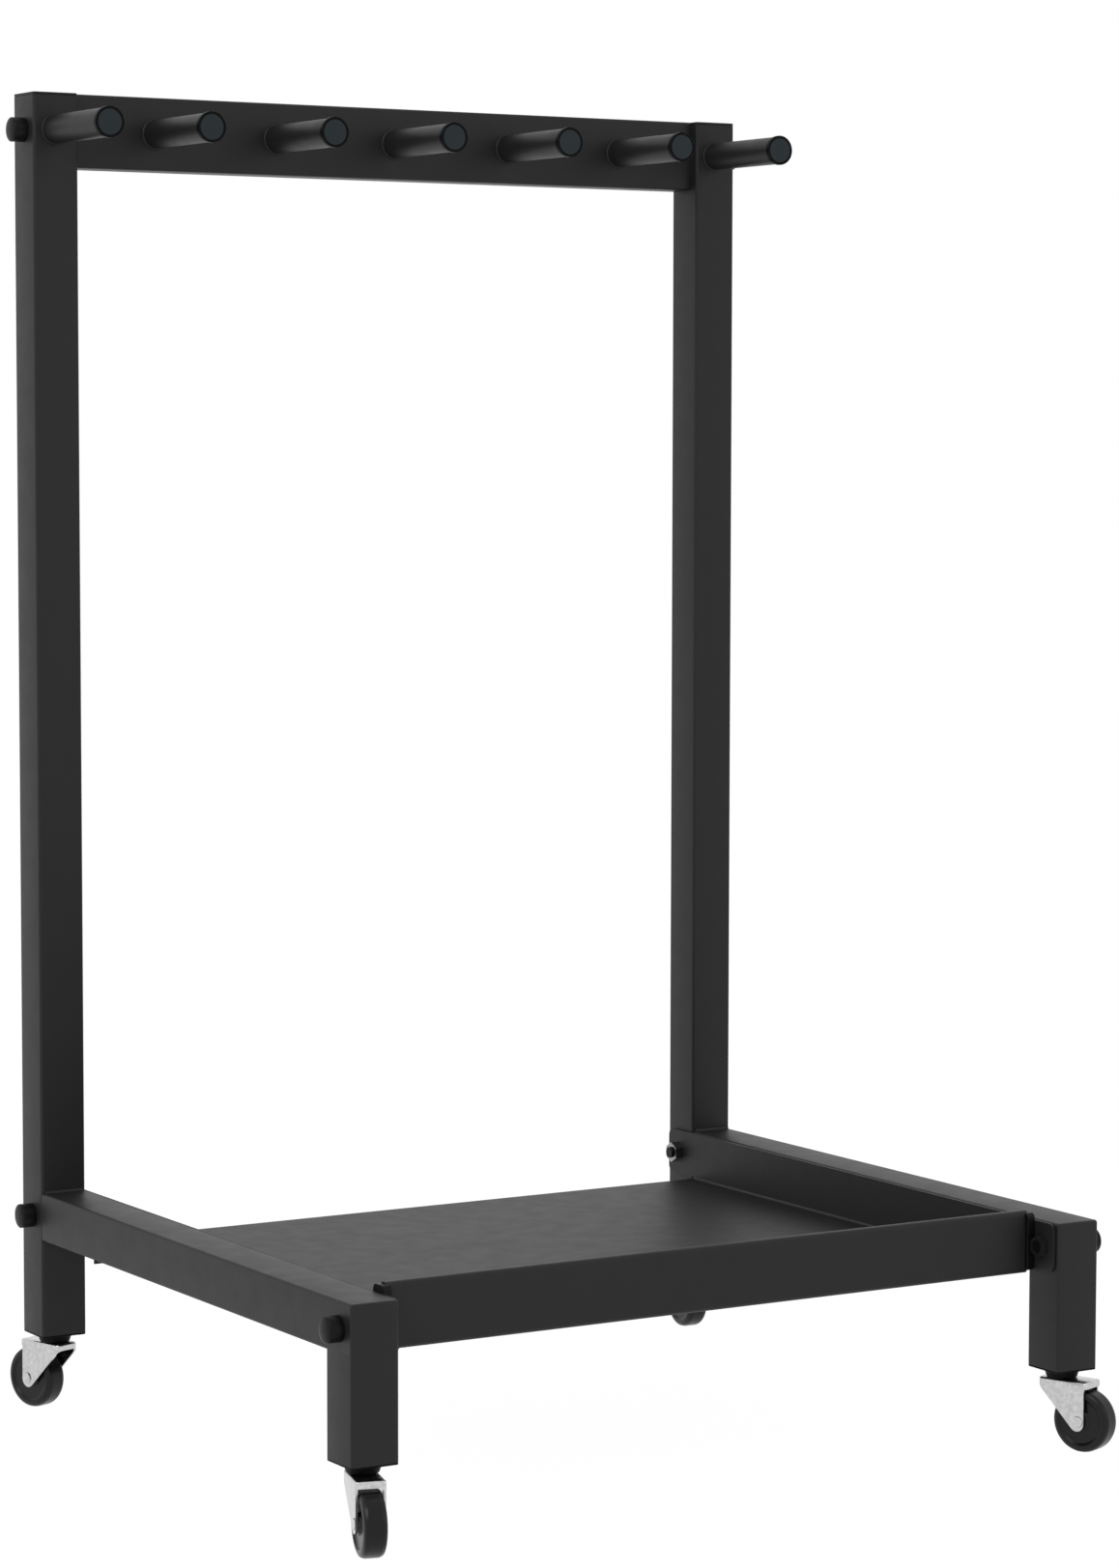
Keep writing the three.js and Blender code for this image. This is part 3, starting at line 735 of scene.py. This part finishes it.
def trim_fork(bm, skirt_z, tip):
    """Cuts the pulled-down walls to a skirt and two plates with round tips."""
    # The front edge of the plates slants from the skirt and meets the round tip smoothly
    to_tip = Vector((tip.x + FORK_FRONT, tip.y - skirt_z))
    slope = math.atan2(to_tip.y, to_tip.x) - math.asin(FORK_TIP / to_tip.length)
    outwards = (math.sin(slope), 0, -math.cos(slope))
    cut_sheet(bm, (-FORK_FRONT, 0, skirt_z), outwards, drop_outer=True)

    cut_sheet(bm, (0, 0, skirt_z), (0, 0, 1))
    behind = []
    for face in bm.faces:
        middle = face.calc_center_median()
        if middle.x > tip.x + FORK_TIP and middle.z < skirt_z:
            behind.append(face)
    bmesh.ops.delete(bm, geom=behind, context="FACES")

    tip_ends = [vert for vert in bm.verts if vert.co.z < tip.y - FORK_TIP + JUST_PAST]
    tip_rears = [vert for vert in tip_ends if vert.co.x > tip.x]
    tip_fronts = [vert for vert in tip_ends if vert.co.x <= tip.x]
    round_corners(bm, tip_rears, FORK_TIP, FORK_TIP_STEPS)
    round_corners(bm, tip_fronts, FORK_TIP * math.tan(-slope / 2), FORK_TIP_FRONT_STEPS)


def pierce(bm, face, height):
    """Opens the hole for the stem's neck in the crown of a fork."""
    outline = face.edges[:]
    bmesh.ops.delete(bm, geom=[face], context="FACES_ONLY")
    hole = bmesh.ops.create_circle(
        bm, segments=NECK_HOLE_SIDES, radius=NECK_RADIUS + RUNNING_GAP,
        matrix=Matrix.Translation((0, 0, height)),
    )["verts"]
    hole_edges = [edge for edge in bm.edges if edge.verts[0] in hole and edge.verts[1] in hole]
    bmesh.ops.triangle_fill(bm, edges=outline + hole_edges, use_beauty=True, normal=(0, 0, 1))


def caster_fork(corner, matrix):
    """A fork pressed from sheet: its crown and skirt, and two plates that taper to the axle."""
    node = f"caster_{corner}_fork"
    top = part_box(node)[1].z
    tip = Vector((TRAIL - FORK_TIP_AHEAD, WHEEL_RADIUS - FORK_TIP_DROP))
    rear = tip.x + FORK_TIP + FORK_REAR_CORNER
    bm = level_face(rear + FORK_FRONT, 2 * FORK_HALF_WIDTH, ((rear - FORK_FRONT) / 2, 0, top))
    front = [vert for vert in bm.verts if vert.co.x < 0]
    round_corners(bm, front, FORK_FRONT_CORNER, FORK_FRONT_STEPS)
    back = [vert for vert in bm.verts if vert.co.x > rear - JUST_PAST]
    round_corners(bm, back, FORK_REAR_CORNER, FORK_REAR_STEPS)
    outline = [edge for edge in bm.edges if len(edge.link_faces) == 1]
    pull_edges(bm, outline, (0, 0, tip.y - FORK_TIP - top))
    trim_fork(bm, top - FORK_SKIRT, tip)
    round_edges(bm, folds_at(bm, z=top), FORK_SHEET, FORK_RIM_STEPS)
    pierce(bm, face_sheet(bm, up=True), top)
    bmesh.ops.solidify(bm, geom=bm.faces[:], thickness=FORK_SHEET)
    piece(
        node + "_pressed", placed(bm, matrix), "swivel_" + corner, ZINC, [node],
        edge=FORK_EDGE, sharp=FORK_SHARP,
    )


def caster_wheel(corner, matrix):
    """A wheel with a rounded tread, a sunk disc and a hub on either side."""
    node = f"caster_{corner}_wheel"
    half = WHEEL_WIDTH / 2
    disc = half - WHEEL_DISC_DEPTH
    tread_middle = TREAD_MIDDLE_SHARE * TREAD_ROUNDING
    upper = [
        (WHEEL_RADIUS, half - TREAD_ROUNDING),
        (WHEEL_RADIUS - tread_middle, half - tread_middle),
        (WHEEL_RADIUS - TREAD_ROUNDING, half),
        (WHEEL_DISC_RADIUS, half),
        (WHEEL_DISC_RADIUS - WHEEL_DISC_DEPTH, disc),
        (HUB_RADIUS + HUB_STEP, disc),
        (HUB_RADIUS, half),
        (AXLE_RADIUS + RUNNING_GAP, half),
    ]
    lower = [(radius, -height) for radius, height in reversed(upper)]
    bm = turned(lower + upper + lower[:1], WHEEL_STEPS)
    placed(bm, matrix @ laid_forward((TRAIL, 0, WHEEL_RADIUS)))
    piece(
        node + "_moulded", bm, "wheel_" + corner, WHEEL_PLASTIC, [node],
        edge=TREAD_EDGE, sharp=WHEEL_SHARP,
    )


def caster(corner):
    matrix = caster_frame(corner)
    caster_plug(corner)
    caster_fork(corner, matrix)
    caster_wheel(corner, matrix)
    dress(f"caster_{corner}_stem", ZINC)
    dress(f"caster_{corner}_axle", ZINC)


# The whole stand

for frame_side in ("left", "right"):
    square_tube(frame_side + "_upright", Z)
    square_tube(frame_side + "_base_rail", Y)
    square_tube(frame_side + "_front_leg", Z, past_end=TUBE_CORNER)
    end_plate(frame_side + "_rail_end_plate")
    upright_cap(frame_side + "_upright_cap")
    side_frame_welds(frame_side)
    corner_block(frame_side)
    for bolt_place in ("top", "back", "front"):
        bolt(bolt_place, frame_side)
    dress("nut_back_" + frame_side, NUT_ZINC)
    dress("nut_front_" + frame_side, BLACK_STEEL)
    dress("top_rail_insert_" + frame_side, NUT_ZINC)
square_tube("top_rail", X)
for peg_number in range(1, PEG_COUNT + 1):
    peg(peg_number)
shelf_tray()
for caster_corner in CASTERS:
    caster(caster_corner)


# Floor, background and light

def mix_shaders(tree, first, second):
    mix = tree.nodes.new("ShaderNodeMixShader")
    tree.links.new(first, mix.inputs[1])
    tree.links.new(second, mix.inputs[2])
    return mix


def seen_or_lighting(tree, seen, lit):
    """The first shader as the camera, metal and gloss see it, the second as light on the stand."""
    path = tree.nodes.new("ShaderNodeLightPath")
    share = path.outputs["Is Camera Ray"]
    for ray in ("Is Glossy Ray", "Is Transmission Ray"):
        added = tree.nodes.new("ShaderNodeMath")
        added.operation = "ADD"
        added.use_clamp = True
        tree.links.new(share, added.inputs[0])
        tree.links.new(path.outputs[ray], added.inputs[1])
        share = added.outputs["Value"]
    mix = mix_shaders(tree, lit, seen)
    tree.links.new(share, mix.inputs["Fac"])
    return mix.outputs["Shader"]


def white_world():
    """White to the camera and in reflections. Its light comes more from behind the stand."""
    world = bpy.data.worlds.new("studio")
    bpy.context.scene.world = world
    world.use_nodes = True
    tree = world.node_tree
    lit = tree.nodes["Background"]
    lit.inputs["Color"].default_value = WHITE
    place = tree.nodes.new("ShaderNodeTexCoord")
    towards = tree.nodes.new("ShaderNodeVectorMath")
    towards.operation = "DOT_PRODUCT"
    towards.inputs[1].default_value = BRIGHT_SIDE
    tree.links.new(place.outputs["Generated"], towards.inputs[0])
    strength = remapped(tree, towards.outputs["Value"], (-1, 1), WORLD_LIGHT)
    tree.links.new(strength, lit.inputs["Strength"])
    seen = tree.nodes.new("ShaderNodeBackground")
    seen.inputs["Color"].default_value = WHITE
    shader = seen_or_lighting(tree, seen.outputs["Background"], lit.outputs["Background"])
    tree.links.new(shader, tree.nodes["World Output"].inputs["Surface"])


def pale_floor():
    """A floor that the camera sees nearly as white as the background."""
    bm = level_face(FLOOR_SIDE, FLOOR_SIDE, (0, 0, 0))
    mesh = bpy.data.meshes.new("studio_floor")
    bm.to_mesh(mesh)
    bm.free()
    floor = bpy.data.objects.new("studio_floor", mesh)
    bpy.context.scene.collection.objects.link(floor)
    material = bpy.data.materials.new("pale_floor")
    tree, shader = shader_of(material)
    shader.inputs["Base Color"].default_value = FLOOR_COLOUR
    shader.inputs["Roughness"].default_value = FLOOR_ROUGHNESS
    glow = tree.nodes.new("ShaderNodeEmission")
    glow.inputs["Color"].default_value = WHITE
    glow.inputs["Strength"].default_value = FLOOR_GLOW
    surfaces = []
    for share in (SEEN_GLOW_SHARE, LIT_GLOW_SHARE):
        mix = mix_shaders(tree, shader.outputs["BSDF"], glow.outputs["Emission"])
        mix.inputs["Fac"].default_value = share
        surfaces.append(mix.outputs["Shader"])
    shown = seen_or_lighting(tree, *surfaces)
    tree.links.new(shown, tree.nodes["Material Output"].inputs["Surface"])
    mesh.materials.append(material)


def soft_lamp(name, place, power):
    lamp = bpy.data.lights.new(name, "AREA")
    lamp.shape = "SQUARE"
    lamp.size = LAMP_SIDE
    lamp.energy = power
    made = bpy.data.objects.new(name, lamp)
    made.location = place
    made.rotation_euler = (LAMP_AIM - place).to_track_quat("-Z", "Y").to_euler()
    bpy.context.scene.collection.objects.link(made)


def photo_camera():
    lens = bpy.data.cameras.new("photo_camera")
    lens.sensor_width = SENSOR
    lens.lens = FOCAL_PIXELS * SENSOR / PHOTO_HEIGHT
    camera = bpy.data.objects.new("photo_camera", lens)
    aim = (
        Matrix.Rotation(-CAMERA_YAW, 4, "Z")
        @ Matrix.Rotation(QUARTER_TURN - CAMERA_PITCH, 4, "X")
        @ Matrix.Rotation(CAMERA_ROLL, 4, "Z")
    )
    camera.matrix_world = Matrix.Translation(CAMERA_PLACE) @ aim
    bpy.context.scene.collection.objects.link(camera)
    bpy.context.scene.camera = camera


white_world()
pale_floor()
for lamp_name, lamp_values in LAMPS.items():
    soft_lamp(lamp_name, **lamp_values)
photo_camera()
bpy.context.scene.view_settings.view_transform = "Standard"
